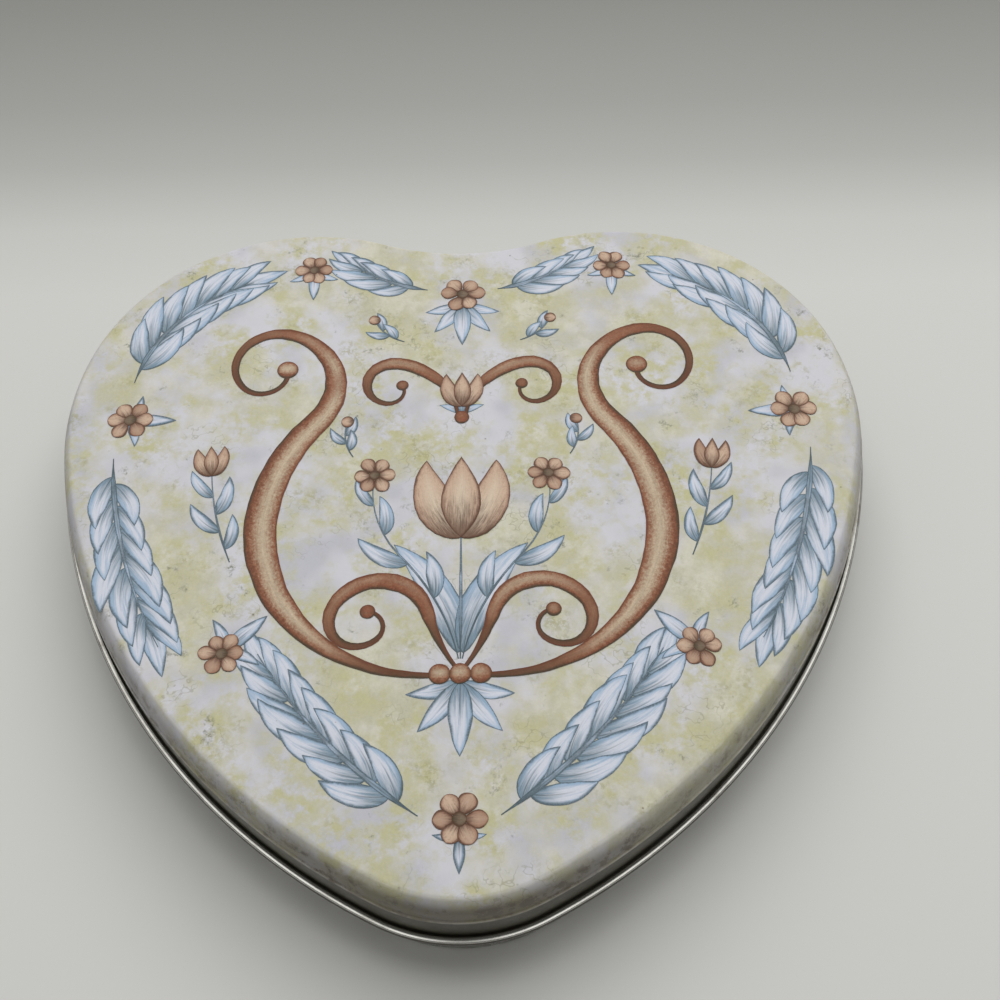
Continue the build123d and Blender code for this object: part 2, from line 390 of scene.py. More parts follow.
def print_finish(name, paint):
    """A satin printed finish: paint(place) gives the colour."""
    material, shader, point = new_finish(name)
    place = in_mm(point)
    relief = scaled(grain(place, *ORANGE_PEEL), PEEL_DEPTH, grain(place, *DENTS))
    wire(shader, {
        "Base Color": marks_and_painted_light(place, paint(place)),
        "Roughness": spread(patchy(place, *RUB_PATCHES), SATIN, DULLED),
        "Specular IOR Level": 0.3, "Coat Weight": 0.06, "Coat Roughness": 0.3,
        "Normal": add("Bump", {"Strength": 0.25, "Distance": 0.12 * MM, "Height": relief})[0],
    })
    return material


printed_tinplate = print_finish("printed_tinplate", parchment)

# %% [markdown]
# The unprinted tinplate is bright but far from a mirror. Rolling leaves fine streaks, the
# tin coat crystallises in soft patches, and fingers leave duller marks. On metal the
# shader's colour is the colour of its reflections, so the marks go into the roughness more
# than into the colour. The lid's curl gets one more thing: dirt and painted shade in the fold under it.

# %% Bare tinplate
BRIGHT_TIN, DULL_TIN = tone(206, 205, 201), tone(160, 158, 152)
STAINED_TIN, CURL_DIRT_AND_SHADE = tone(112, 106, 96), tone(66, 62, 56)
MARKS, STAINS = (6, 5, 0.65, 21.0, 0.4, 0.68), (11, 4, 0.7, 22.0, 0.54, 0.7)
CURL_BOTTOM = 11.1
CURL_FOLD = (CURL_BOTTOM - 0.1, CURL_BOTTOM + 1.25, 0.12)
STREAKS, STREAK_STRETCH = (0.5, 4, 0.65, 20.0), 0.04
BRIGHT, WALL_BRIGHT, DULLER = 0.14, 0.22, 0.16
STAIN_STRENGTH, CURL_STRENGTH, MARK_RELIEF = 0.6, 0.95, 2.0


def tin_finish(name, streak_axis, shine, dirt_and_shade=None):
    """Bare tinplate, streaked along one axis; dirt_and_shade gives a band of dirt and painted shade as
    (low, high, soft edge).
    """
    material, shader, point = new_finish(name)
    place = in_mm(point)
    stretch = tuple(STREAK_STRETCH if axis == streak_axis else 1.0 for axis in "XYZ")
    drawn = add("VectorMath", {0: place, 1: stretch}, operation="MULTIPLY")[0]
    streaks = grain(drawn, *STREAKS)
    marks = patchy(place, *MARKS)
    dulled = sum_of("MULTIPLY", sum_of("ADD", streaks, marks), 0.5, clamp=True)
    colour = mixed(dulled, BRIGHT_TIN, DULL_TIN)
    colour = laid(colour, STAINED_TIN, STAIN_STRENGTH, patchy(place, *STAINS))
    if dirt_and_shade is not None:
        # Dirt and painted shade darken the lower part of the curl.
        height = add("SeparateXYZ", {0: place})["Z"]
        colour = laid(colour, CURL_DIRT_AND_SHADE, CURL_STRENGTH, between(height, *dirt_and_shade))
    relief = scaled(marks, MARK_RELIEF, streaks)
    wire(shader, {
        "Base Color": colour,
        "Roughness": spread(dulled, shine, shine + DULLER),
        "Metallic": 1.0,
        "Normal": add("Bump", {"Strength": 0.12, "Distance": 0.02 * MM, "Height": relief})[0],
    })
    return material


curl_tinplate = tin_finish("bare_tinplate", "X", BRIGHT, CURL_FOLD)
panel_tinplate = tin_finish("panel_tinplate", "X", BRIGHT)
wall_tinplate = tin_finish("wall_tinplate", "Z", WALL_BRIGHT)

# %% [markdown]
# A sheet is formed in three steps. One vertex is pushed along the section, which draws the
# fold. That line is pushed round the heart, which makes a skin. Where the sheet goes on as
# a flat panel, its edge is drawn inwards ring by ring and closed. The Solidify modifier
# then gives the skin the thickness of tinplate and puts its far side in the next material
# slot, so one sheet can be printed on one face and bare on the other.

# %% A helper that forms a sheet
X_AXIS, Y_AXIS, Z_AXIS = Vector((1, 0, 0)), Vector((0, 1, 0)), Vector((0, 0, 1))
TIN_MIDDLE = Vector((0, 4, 11)) * MM
PANEL_RINGS = (0.93, 0.9, 0.86, 0.8, 0.72, 0.6, 0.4)
SAME_PLACE = 0.002 * MM


def close_panel(mesh, height):
    """Draws the open edge at this height inwards, ring by ring, and closes it."""
    level = {v for v in mesh.verts if abs(v.co.z - height) < SAME_PLACE}
    edges = [e for e in mesh.edges if e.is_boundary and level.issuperset(e.verts)]
    about_middle = Matrix.Translation(-TIN_MIDDLE)
    for share in PANEL_RINGS:
        made = bmesh.ops.extrude_edge_only(mesh, edges=edges)["geom"]
        ring = [v for v in made if isinstance(v, bmesh.types.BMVert)]
        bmesh.ops.scale(mesh, vec=(share, share, 1), space=about_middle, verts=ring)
        edges = [e for e in made if isinstance(e, bmesh.types.BMEdge)]
    bmesh.ops.contextual_create(mesh, geom=edges)


def formed_sheet(name, start, heading, moves, panel_height, finishes, scored=None):
    """Makes one sheet of the tin; start is (distance out from the skirt, height)."""
    mesh = bmesh.new()
    first = mesh.verts.new((0, NOTCH.y + start[0] * MM, start[1] * MM))
    section = [(size * MM, turning, steps) for size, turning, steps in moves]
    follow(mesh, [first], first.co.copy(), heading, section, Y_AXIS, Z_AXIS)
    follow(mesh, mesh.verts[:] + mesh.edges[:], NOTCH, 0, WHOLE_HEART, X_AXIS, Y_AXIS)
    bmesh.ops.remove_doubles(mesh, verts=mesh.verts, dist=SAME_PLACE)
    if panel_height is not None:
        close_panel(mesh, panel_height * MM)
    if scored is not None:
        scored(mesh)
    bmesh.ops.recalc_face_normals(mesh, faces=mesh.faces)
    widest = max(mesh.faces, key=lambda face: face.calc_area())
    if widest.normal.dot(widest.calc_center_median() - TIN_MIDDLE) < 0:
        bmesh.ops.reverse_faces(mesh, faces=mesh.faces)
    piece = shown(mesh, name, finishes)
    thicken = piece.modifiers.new("thickness", "SOLIDIFY")
    thicken.thickness = SHEET * MM
    thicken.offset = -1
    thicken.use_even_offset = True
    thicken.material_offset = thicken.material_offset_rim = 1
    return piece


def shown(mesh, name, finishes):
    """Turns a bmesh into a smooth-shaded object with its finishes."""
    data = bpy.data.meshes.new(name)
    for face in mesh.faces:
        face.smooth = True
    mesh.to_mesh(data)
    mesh.free()
    for finish in finishes:
        data.materials.append(finish)
    piece = bpy.data.objects.new(name, data)
    bpy.context.scene.collection.objects.link(piece)
    print(name, len(data.polygons), "faces")
    return piece


# %% [markdown]
# The lid's section starts where the flat top ends. It bends down tightly at the crest and
# then easily over a belly, runs to a small ledge, and goes on as an upright skirt. At the
# bottom it rolls outwards almost all the way round, which hides the cut edge and turns the
# unprinted face outwards. That is why a printed lid has a bright rim. The top stands a hair
# below the solid's, to leave room for the ink.

# %% Form the lid
LID_BOTTOM, LID_TOP = (corner.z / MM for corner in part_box("lid"))
INK_ROOM = 0.15
CREST_RADIUS, CREST_TURN, BELLY_RADIUS, WALL_LEAN = 1.0, 45.0, 5.2, 8.0
LEDGE_WIDTH, LEDGE_TURN = 0.32, 55.0
CURL_TURN, CURL_PLAY = 285.0, 0.01
print_height = LID_TOP - INK_ROOM
wall_heading = WALL_LEAN - 90
ledge_heading = wall_heading + LEDGE_TURN
crest_middle, belly_middle = CREST_RADIUS - SHEET / 2, BELLY_RADIUS - SHEET / 2
shoulder_reach = crest_middle * reach(0, -CREST_TURN) + belly_middle * reach(-CREST_TURN, wall_heading)
shoulder_drop = crest_middle * drop(0, -CREST_TURN) + belly_middle * drop(-CREST_TURN, wall_heading)
wall_run = (print_height - SHEET / 2 - shoulder_drop - LEDGE_TOP) / cos(radians(WALL_LEAN))
ledge_radius = LEDGE_WIDTH / (reach(wall_heading, ledge_heading) + reach(ledge_heading, -90))
ledge_drop = ledge_radius * (drop(wall_heading, ledge_heading) + drop(ledge_heading, -90))
shoulder_start = -SHEET / 2 - LEDGE_WIDTH - wall_run * sin(radians(WALL_LEAN)) - shoulder_reach
lid = formed_sheet(
    "lid_shell",
    (shoulder_start, print_height),
    0,
    [
        (CREST_RADIUS, -CREST_TURN, 8),
        (BELLY_RADIUS, wall_heading + CREST_TURN, 10),
        (wall_run, 0, 2),
        (ledge_radius - SHEET / 2, LEDGE_TURN, 5),
        (ledge_radius + SHEET / 2, -90 - ledge_heading, 6),
        (LEDGE_TOP - ledge_drop - CURL_RADIUS - LID_BOTTOM, 0, 4),
        (CURL_RADIUS - SHEET - CURL_PLAY, CURL_TURN, 24),
    ],
    print_height,
    [printed_tinplate, curl_tinplate],
)
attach(lid, "lid")
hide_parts("lid")

# %% [markdown]
# The wall of the body is one strip bent to the heart. It rises from a hook that holds the
# bottom, and ends in a safe edge rolled inwards. Its two ends meet at the notch in a lock
# seam, which shows outside as a fine line. The line is cut into the finished skin, because
# the skin's own faces are too wide for it.

# %% Form the wall
WALL_OFFSET, SEAM_PLAY = -1.32, 0.07
RIM_CENTRE, RIM_RADIUS, RIM_TURN = 20.4, 0.8, 300.0
HOOK_TOP, HOOK_CORNER = 2.3, 0.32
LOCK_BOTTOM, LOCK_TOP, LOCK_LINE, LOCK_LINE_DEPTH = 3.2, 19.4, 0.2, 0.1
NEAR_SEAM, NEAR_LINE = 3.0, 3 * LOCK_LINE
layer = SHEET + SEAM_PLAY


def score_line(mesh):
    """Presses the seam's line into the wall: cuts beside it, then pushes its middle in."""
    cuts = [(X_AXIS * LOCK_LINE * share, X_AXIS, NEAR_SEAM) for share in (-2, -0.5, 0.5, 2)]
    cuts += [(Z_AXIS * z, Z_AXIS, NEAR_LINE) for z in (LOCK_BOTTOM, LOCK_TOP)]
    for through, facing, half_width in cuts:
        beside = {v for v in mesh.verts if abs(v.co.x) < half_width * MM and v.co.y > 0}
        near = [face for face in mesh.faces if all(v in beside for v in face.verts)]
        near += list({edge for face in near for edge in face.edges})
        bmesh.ops.bisect_plane(mesh, geom=near, plane_co=through * MM, plane_no=facing, dist=0.001 * MM)
    for v in mesh.verts:
        inside = abs(v.co.x) < LOCK_LINE * MM and v.co.y > 0
        if inside and LOCK_BOTTOM * MM < v.co.z < LOCK_TOP * MM:
            v.co.y -= LOCK_LINE_DEPTH * MM


wall = formed_sheet(
    "wall_sheet",
    (WALL_OFFSET - SHEET - 2 * layer, HOOK_TOP),
    -90,
    [
        (HOOK_TOP - HOOK_CORNER, 0, 2),
        (HOOK_CORNER, 90, 4),
        (2 * layer + SHEET - 2 * HOOK_CORNER, 0, 1),
        (HOOK_CORNER, 90, 4),
        (RIM_CENTRE - HOOK_CORNER, 0, 8),
        (RIM_RADIUS, RIM_TURN, 20),
    ],
    None,
    [wall_tinplate, wall_tinplate],
    score_line,
)
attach(wall, "body")
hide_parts("body_wall")

# %% [markdown]
# Inside, the seam is a flat ridge, where the two ends are hooked into each other and
# hammered down. Its layers can't be told apart, so it is one bar, spun about the centre of
# the notch's bend, with softened edges.

# %% Form the lock seam
LOCK_WIDTH, LOCK_DEPTH, LOCK_EDGE = 4.0, 0.5, 0.12
ridge_face = NOTCH.y + (WALL_OFFSET - SHEET) * MM
corners = [(0, LOCK_BOTTOM), (LOCK_DEPTH, LOCK_BOTTOM), (LOCK_DEPTH, LOCK_TOP), (0, LOCK_TOP)]
mesh = bmesh.new()
ridge = [mesh.verts.new((0, ridge_face - depth * MM, height * MM)) for depth, height in corners]
profile = mesh.faces.new(ridge)
bend_centre = NOTCH + Y_AXIS * NOTCH_RADIUS * MM
half_bend = LOCK_WIDTH / 2 / NOTCH_RADIUS
bmesh.ops.rotate(mesh, cent=bend_centre, matrix=Matrix.Rotation(-half_bend, 3, "Z"), verts=ridge)
geometry = [profile] + profile.edges[:] + ridge
bmesh.ops.spin(mesh, geom=geometry, cent=bend_centre, axis=Z_AXIS, angle=2 * half_bend, steps=8)
bmesh.ops.recalc_face_normals(mesh, faces=mesh.faces)
seam = shown(mesh, "lock_seam", [wall_tinplate])
soften = seam.modifiers.new("soft edges", "BEVEL")
soften.width = LOCK_EDGE * MM
soften.segments = 3
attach(seam, "body")
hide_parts("body_wall")

# %% [markdown]
# The bottom is a flat sheet. It hangs in the wall's hook by a flange turned down at its edge,
# and its middle is stepped up, so that it doesn't drum.

# %% Form the bottom panel
FLANGE_BOTTOM, PANEL_HEIGHT, PANEL_CORNER = 0.36, 2.5, 0.12
PANEL_RIM, PANEL_STEP, STEP_TURN = 6.4, 0.6, 45.0
step_radius = PANEL_STEP / (2 * (1 - cos(radians(STEP_TURN))))
panel = formed_sheet(
    "panel_sheet",
    (WALL_OFFSET - SHEET - layer, FLANGE_BOTTOM),
    90,
    [
        (PANEL_HEIGHT - PANEL_CORNER - FLANGE_BOTTOM, 0, 2),
        (PANEL_CORNER, 90, 4),
        (PANEL_RIM, 0, 3),
        (step_radius + SHEET / 2, -STEP_TURN, 4),
        (step_radius - SHEET / 2, STEP_TURN, 4),
    ],
    PANEL_HEIGHT + PANEL_STEP,
    [panel_tinplate, panel_tinplate],
)
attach(panel, "body")
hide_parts("bottom_panel")

# %% [markdown]
# The print is drawn stroke by stroke, as the decorator did it. A stroke is a strip of faces
# laid along a spine, just above the lid. Every point of it knows how far along the stroke
# it is, how far across, and how wide the stroke is there, so the finish can draw an even
# outline and shade one side. A spine is made of arcs that meet without a corner, because a
# loaded brush turns that way.

# %% Helpers that lay out a stroke's spine
def ahead_of(heading, length):
    """A step of this length in a heading."""
    return Vector((cos(radians(heading)), sin(radians(heading)), 0)) * length


def moved(place, heading, size, turning, share):
    """The place and heading after a share of one arc (radius, turn) or run (length, 0)."""
    if not turning:
        return place + ahead_of(heading, size * share), heading
    centre = place + ahead_of(heading + 90, size if turning > 0 else -size)
    bent = Matrix.Rotation(radians(turning * share), 3, "Z") @ (place - centre)
    return centre + bent, heading + turning * share


def spine(start, heading, bends):
    """A path of tangent arcs and runs: (place, heading) as a function of share, and its length."""
    stretches = []
    place = Vector((start[0], start[1], 0))
    for size, turning in bends:
        length = size * abs(radians(turning)) if turning else size
        stretches.append((place, heading, size, turning, length))
        place, heading = moved(place, heading, size, turning, 1.0)
    whole = sum(stretch[4] for stretch in stretches)

    def where(share):
        rest = share * whole
        for place, heading, size, turning, length in stretches:
            if rest <= length + 1e-9:
                break
            rest -= length
        return moved(place, heading, size, turning, min(rest / length, 1.0))

    return where, whole


def bowed(start, heading, length, bend):
    """A single arc of this length that turns by bend."""
    return spine(start, heading, [(length / abs(radians(bend)), bend) if bend else (length, 0)])


# %% [markdown]
# A stroke's width follows a rule, such as a leaf's or a ribbon's, and smooth noise makes it
# unsteady, as a hand does. The noise starts from the stroke's tint, a number of its own, so
# no two strokes waver alike. A level says which stroke covers which.

# %% Helpers that draw a stroke
INK_VALUES = ("share", "across", "half", "run", "tint")
INK_GAP, INK_STEP, LEAST_HALF = 0.015, 0.0028, 0.06
UNSTEADY, WIDTH_WAVER, SWAY_WAVER = 0.13, 2.2, 4.5
TINT_APART, SWAY_APART = 40, 9
hand = random.Random(7)


def new_ink():
    """An empty mesh whose points carry the stroke's values."""
    mesh = bmesh.new()
    for value in INK_VALUES:
        mesh.verts.layers.float.new(value)
    return mesh


def stroke(mesh, path, half_at, level, side, tint=None, steps=14, lanes=4):
    """Lays one strip along a path; half_at(share) is half its width in millimetres."""
    where, length = path
    layers = [mesh.verts.layers.float[value] for value in INK_VALUES]
    tint = hand.uniform(0.3, 1.0) if tint is None else tint
    height = print_height + INK_GAP + level * INK_STEP
    for vertex in bmesh.ops.create_grid(mesh, x_segments=steps, y_segments=lanes, size=1)["verts"]:
        share, across = 0.5 + 0.5 * sin(pi / 2 * vertex.co.x), vertex.co.y
        place, heading = where(share)
        run, half = share * length, half_at(share)
        unsteady = min(half, 1.0) * UNSTEADY
        waver = noise.noise(Vector((run / WIDTH_WAVER, tint * TINT_APART, 0)))
        sway = unsteady * noise.noise(Vector((run / SWAY_WAVER, tint * TINT_APART, SWAY_APART)))
        half = max(half + unsteady * waver, LEAST_HALF)
        spot = place + ahead_of(heading + 90, across * half + sway)
        vertex.co = Vector((spot.x * side, spot.y, height)) * MM
        for layer, value in zip(layers, (share, across, half, run, tint)):
            vertex[layer] = value


def leafy(widest, early, blunt=1.0):
    """A width that swells from a point and closes to one; early under 1 swells sooner."""
    return lambda share: widest * max(sin(pi * min(max(share, 0.0), 1.0) ** early), 0.0) ** blunt


def tapered(thin, wide, peak):
    """A ribbon's width: thin at both ends, and widest at the share called peak."""
    def half_at(share):
        way = share / peak if share < peak else (1 - share) / (1 - peak)
        return thin + (wide - thin) * (0.5 - 0.5 * cos(pi * way))
    return half_at


def dab(mesh, place, radius, level, side, tint=None):
    """A round dab of paint, such as a ball or a berry."""
    path = spine((place[0] - radius, place[1]), 0, [(2 * radius, 0)])
    stroke(mesh, path, lambda share: radius * sqrt(max(1 - (2 * share - 1) ** 2, 0)), level, side, tint, 12)


def ink_piece(mesh, name, finish):
    """Finishes a layer of print: faces up, rides on the lid, and takes its slot."""
    mesh.normal_update()
    down = [face for face in mesh.faces if face.normal.z < 0]
    bmesh.ops.reverse_faces(mesh, faces=down)
    piece = shown(mesh, name, [finish])
    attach(piece, "lid")


# %% [markdown]
# Three paints cover the lid: a terracotta ribbon, a pale blue leaf, and a tan petal. All are
# drawn like work in crayon over wash. The wash deepens towards the edges of the stroke, a
# crayon streaks it lengthwise, and a dark line of uneven weight goes round it. The tooth of
# the paper breaks the line up.

# %% Helpers that mix a paint
LINE_WEIGHTS, LINE_TOOTH = (3.5, 2, 0.5, 31.0, 0.36, 0.66), (0.3, 3, 0.75, 30.0)
LINE_EDGE, LINE_ROUGHNESS = (0.35, 1.5), 0.3
PAPER_GRAIN, PAPER_HOLD = (0.22, 2, 0.6, 36.0), (0.72, 1.0, 0.35, 0.6)
STREAK_GRAIN, STREAK_SHARE, STREAKS_APART = (4, 0.6, 32.0), 0.8, 60.0
CRAYON_TOOTH, GRIT_TOOTH, GRIT = (0.26, 3, 0.8, 34.0), (0.4, 3, 0.7, 37.0), 1.3


def inked(place, value):
    """One of the values that the points of a stroke carry."""
    return add("Attribute", {}, place.id_data, attribute_name=value)["Fac"]


def off_spine(place):
    """Millimetres off the middle of the stroke, with a sign."""
    return times(inked(place, "across"), inked(place, "half"))


def from_edge(place):
    """Millimetres in from the stroke's edge."""
    across = sum_of("ABSOLUTE", inked(place, "across"))
    return times(rest_of(across), inked(place, "half"))


def streaks_along(place, width, length):
    """Streaks that run with the stroke, this wide and this long in millimetres."""
    run = times(inked(place, "run"), width / length)
    apart = times(inked(place, "tint"), STREAKS_APART)
    spot = add("CombineXYZ", {0: run, 1: off_spine(place), 2: apart})[0]
    return grain(spot, width, *STREAK_GRAIN)


def outlined(place, body, line, thin, thick, strength):
    """Draws a line round a stroke, from thin to thick millimetres wide."""
    width = spread(patchy(place, *LINE_WEIGHTS), thin, thick)
    inside = scaled(tooth_of(place, *LINE_TOOTH), LINE_ROUGHNESS, from_edge(place))
    drawn = falling(sum_of("DIVIDE", inside, width), *LINE_EDGE)
    paper = spread(grain(place, *PAPER_GRAIN), *PAPER_HOLD)
    return laid(body, line, strength, drawn, paper)


def leaning(value, way, streaks, low, high):
    """A shade that deepens towards one end of a value, with a streaky front."""
    return rising(scaled(streaks, STREAK_SHARE, times(value, way)), low, high)


def crayon(place, colour, depth):
    """Breaks a colour up with the tooth of the paper."""
    return darkened(colour, scaled(tooth_of(place, *CRAYON_TOOTH), depth, 1.0))


def gritty(place, value, low, high):
    """A smooth step whose front is broken into grains by the tooth of the paper."""
    return rising(scaled(tooth_of(place, *GRIT_TOOTH), GRIT, value), low, high)


# %% [markdown]
# A ribbon is a brown band that turns over as it goes. Where it is wide it catches the light
# near its middle, and where it turns or thins out it is deep terracotta.

# %% Mix the ribbon's paint
TAN, PALE_TAN = tone(138, 94, 68), tone(184, 166, 142)
TERRACOTTA, DEEP_TERRACOTTA = tone(122, 68, 46), tone(78, 52, 37)
RUST_LINE, OLIVE_BROWN = tone(98, 56, 38), tone(66, 58, 42)
RIBBON_LIGHT, RIBBON_TURNS = 0.15, (15, 2, 0.4, 35.0, 0.48, 0.64)
THIN_HALF, WIDE_HALF = (0.5, 1.4), (0.8, 2.0)


def ribbon_paint(place):
    """The colour of a ribbon at this place."""
    across, half = inked(place, "across"), inked(place, "half")
    off_light = sum_of("ABSOLUTE", sum_of("SUBTRACT", across, RIBBON_LIGHT))
    streaks = streaks_along(place, 0.3, 5.0)
    turns = patchy(place, *RIBBON_TURNS)
    wide = times(rising(half, *WIDE_HALF), rest_of(times(turns, 0.85)))
    light = rest_of(gritty(place, off_light, -0.05, 0.85))
    body = laid(TAN, PALE_TAN, 1.0, light, wide)
    body = laid(body, TERRACOTTA, 0.7, turns, gritty(place, streaks, 0.2, 0.6))
    body = laid(body, TERRACOTTA, 0.85, gritty(place, off_light, 0.4, 1.05))
    shaded = gritty(place, times(across, -1.0), 0.45, 1.15)
    body = laid(body, DEEP_TERRACOTTA, 0.8, shaded)
    body = laid(body, DEEP_TERRACOTTA, 0.75, falling(half, *THIN_HALF))
    body = darkened(crayon(place, body, 0.85), spread(streaks, 0.82, 1.14, 0.3, 0.7))
    line = mixed(rising(across, -0.3, 0.3), OLIVE_BROWN, RUST_LINE)
    return outlined(place, body, line, 0.16, 0.5, 0.85)


ribbon_finish = print_finish("printed_ribbon", ribbon_paint)

# %% [markdown]
# A leaf is lilac white with blue crayon. The blue gathers at the edges, at the tip and most
# of all at the foot, where slate hatching and a short middle rib give it depth.

# %% Mix the leaf's paint
LEAF_WHITE, LEAF_BLUE = tone(200, 203, 212), tone(148, 171, 194)
DEEP_BLUE, SLATE_LINE = tone(106, 128, 142), tone(70, 82, 86)
RIB_WIDTH, RIB_END, LEAF_FOOT = (0.03, 0.16), (0.3, 0.75), (0.05, 0.5)


def leaf_paint(place):
    """The colour of a leaf at this place."""
    share, across = inked(place, "share"), inked(place, "across")
    streaks = streaks_along(place, 0.4, 6.0)
    body = laid(LEAF_WHITE, LEAF_BLUE, 0.75, rising(streaks, 0.46, 0.7))
    wash = falling(sum_of("ADD", from_edge(place), streaks), 0.55, 1.25)
    body = laid(body, LEAF_BLUE, 0.8, wash)
    body = laid(body, LEAF_BLUE, 1.0, leaning(across, 1.0, streaks, 0.6, 1.3))
    body = laid(body, LEAF_BLUE, 0.8, leaning(share, 1.0, streaks, 1.1, 1.5))
    body = laid(body, DEEP_BLUE, 0.9, leaning(share, -1.0, streaks, -0.2, 0.38))
    hatch = rising(streaks_along(place, 0.16, 3.0), 0.52, 0.62)
    body = laid(body, SLATE_LINE, 0.6, hatch, falling(share, *LEAF_FOOT))
    rib = falling(sum_of("ABSOLUTE", off_spine(place)), *RIB_WIDTH)
    body = laid(body, SLATE_LINE, 0.5, rib, falling(share, *RIB_END))
    return outlined(place, crayon(place, body, 0.24), SLATE_LINE, 0.14, 0.46, 0.88)


leaf_finish = print_finish("printed_leaf", leaf_paint)

# %% [markdown]
# A petal is tan, with a cream heart where it is wide and brown hatching at its foot. Its
# tint makes it more or less brown, and a tint of 0 turns a dab into a dark eye.

# %% Mix the petal's paint
PETAL_TAN, PETAL_BROWN = tone(192, 166, 144), tone(130, 86, 64)
PETAL_CREAM, PETAL_LINE = tone(206, 190, 168), tone(80, 54, 40)
BROWN_TINTS, EYE_TINTS, PETAL_FOOT = (0.6, 1.0), (0.05, 0.2), (0.15, 0.75)


def petal_paint(place):
    """The colour of a petal or a berry at this place."""
    share, tint = inked(place, "share"), inked(place, "tint")
    streaks = streaks_along(place, 0.24, 2.6)
    body = laid(PETAL_TAN, PETAL_BROWN, 0.5, gritty(place, streaks, 0.45, 0.75))
    body = laid(body, PETAL_BROWN, 0.45, rising(tint, *BROWN_TINTS))
    depth = scaled(from_edge(place), 0.4, streaks)
    body = laid(body, PETAL_CREAM, 0.85, gritty(place, depth, 0.75, 1.9))
    wash = gritty(place, sum_of("ADD", from_edge(place), streaks), 0.5, 1.3)
    body = laid(body, PETAL_BROWN, 0.72, rest_of(wash))
    body = laid(body, DEEP_TERRACOTTA, 0.8, leaning(share, -1.0, streaks, -0.2, 0.38))
    hatch = rising(streaks_along(place, 0.15, 2.4), 0.54, 0.62)
    body = laid(body, DEEP_TERRACOTTA, 0.6, hatch, falling(share, *PETAL_FOOT))
    body = laid(body, OLIVE_BROWN, 0.75, falling(tint, *EYE_TINTS))
    return outlined(place, crayon(place, body, 0.4), PETAL_LINE, 0.16, 0.42, 0.9)


petal_finish = print_finish("printed_petal", petal_paint)

# %% [markdown]
# The middle of the lid is a lyre. Each arm is one spine of five arcs that leaves the foot,
# bulges, draws in and ends in a volute with a ball. The arm is drawn on the right, and again
# on the left with the other sign of X. The three paints lie in bands of height: petals over
# ribbons over leaves.

# %% Draw the lyre
SIDES = (1, -1)
RIBBON_LEVEL, PETAL_LEVEL = 22, 31
ARM = ((1.2, -29.5), -8, [(28.0, 108), (34.0, 30), (12.5, -112), (7.4, -150), (4.4, -150)])
INNER = ((0.8, -28.3), 55, [(30.0, 20), (8.0, -150), (4.6, -150), (2.8, -130)])
CROWN = ((0.7, 19.5), 88, [(13.0, -78), (4.6, -170), (2.7, -140)])
BALLS = [((-3.2, -29.6), 1.7, 7), ((3.2, -29.6), 1.7, 7), ((0.0, -29.6), 1.7, 8), ((0.0, 19.6), 1.3, 7)]
ribbons = new_ink()


def volute(path, thin, wide, peak, ball, level, side):
    """A ribbon that ends in a ball, drawn on one side of the lyre."""
    drawn = spine(*path)
    steps = round(drawn[1] * 1.1)
    stroke(ribbons, drawn, tapered(thin, wide, peak), level + (side > 0), side, 0.3 * level, steps, 8)
    dab(ribbons, drawn[0](1.0)[0], ball, level + 2, side)


for side in SIDES:
    volute(INNER, 0.35, 1.5, 0.35, 1.25, RIBBON_LEVEL, side)
    volute(CROWN, 0.3, 1.35, 0.4, 1.1, RIBBON_LEVEL, side)
    volute(ARM, 0.45, 2.75, 0.38, 1.9, RIBBON_LEVEL + 3, side)
for place, radius, level in BALLS:
    dab(ribbons, place, radius, RIBBON_LEVEL + level, 1)
ink_piece(ribbons, "print_scrolls", ribbon_finish)

# %% [markdown]
# A frond is a curved rib with leaflets on both sides. They are laid from the tip back to the
# foot, so that each one covers the foot of the one beyond it, like feathers.

# %% Helpers that draw fronds, stems and fans
FROND_TIP = 0.84
leaves = new_ink()


def leaflet(start, heading, length, bend, level, side, width=0.16):
    """One small pointed leaf."""
    shape = leafy(length * width, 0.78, 0.8)
    stroke(leaves, bowed(start, heading, length, bend), shape, level, side, steps=16)


def frond(start, heading, bends, pairs, longest, side):
    """A feathery leaf along a spine, with pairs of leaflets of up to this length."""
    where, length = spine(start, heading, bends)
    tip, course = where(FROND_TIP)
    leaflet(tip, course, longest * 0.95, 10, 0, side)
    level = 1
    for pair in range(pairs):
        share = FROND_TIP * (1 - pair / pairs)
        size = longest * (0.6 + 0.4 * sin(pi * (0.15 + 0.8 * share)))
        for way in (1, -1):
            place, course = where(share - 0.02 * way)
            lean = way * (44 - 12 * share + hand.uniform(-4, 4))
            bend = -way * (40 + hand.uniform(-8, 8))
            leaflet(place, course + lean, size * hand.uniform(0.92, 1.1), bend, level, side, 0.165)
            level += 1
    stroke(leaves, (where, length), tapered(0.08, 0.5, 0.2), level, side, 0.5, 30, 2)


def stem(start, heading, bends, level, side, half=0.2):
    """A hair-thin stem; gives the place and heading along it."""
    path = spine(start, heading, bends)
    stroke(leaves, path, tapered(0.1, half, 0.3), level, side, 0.5, 24, 2)
    return path[0]


def leafed(where, leaflets, lean, bend, side, width=0.16):
    """Leaflets on a stem, each (share along it, side of it, length, level)."""
    for share, way, size, level in leaflets:
        place, course = where(share)
        leaflet(place, course + way * lean, size, -way * bend, level, side, width)


def fan(place, heading, spread_angle, count, length, level, side):
    """Leaflets that open like the ribs of a fan, the middle one longest."""
    for rib in range(count):
        way = 2 * rib / (count - 1) - 1
        size, height = length * (1 - 0.28 * abs(way)), level + round(3 - 3 * abs(way))
        leaflet(place, heading + way * spread_angle, size, way * 30, height, side)


# %% [markdown]
# The rim of the lid carries a garland of fronds. Each side has four of them, which spring
# in pairs from the cheek and meet the ones that come from the notch and from the tip.
# Leafed stems fill the field between the garland and the lyre.

